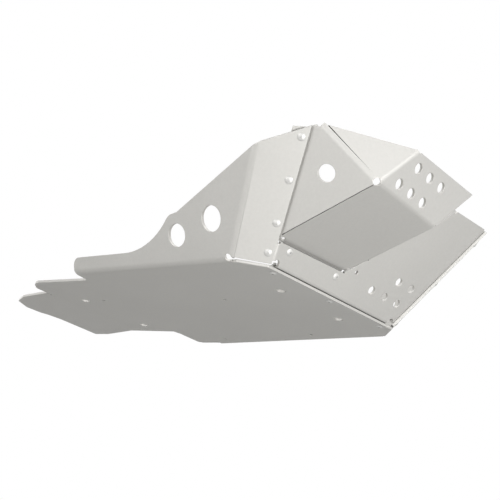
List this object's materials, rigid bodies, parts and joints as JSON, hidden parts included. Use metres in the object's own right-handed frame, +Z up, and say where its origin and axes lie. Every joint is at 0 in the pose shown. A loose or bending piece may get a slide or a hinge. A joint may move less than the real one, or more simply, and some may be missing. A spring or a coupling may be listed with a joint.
{
  "type": "motorcycle skid plate",
  "caption": "Folded aluminium engine guard for a motorcycle: flat floor with a rear tongue, leaning side walls, and a riveted front panel with an offset faceted scoop and vent holes.",
  "frame": {"origin": "centre of the four large mounting holes, on the underside of the floor", "axes": "+X forward along the motorcycle, +Y to the rider's left, +Z up; the floor's underside is z = 0"},
  "size_m": [0.6524, 0.3576, 0.1375],
  "materials": {
    "sheet": "satin anodised, fine even grain",
    "rivet": "smooth, slightly bright",
    "mandrel": "plain, broken end"
  },
  "bodies": {
    "root": {"main_tray": "sheet", "front_panel": "sheet", "rivets_right_seam": "rivet", "rivets_left_seam": "rivet", "rivets_strip": "rivet", "rivets_floor": "rivet", "mandrels_right_seam": "mandrel", "mandrels_left_seam": "mandrel", "mandrels_strip": "mandrel", "mandrels_floor": "mandrel"}
  },
  "joints": []
}
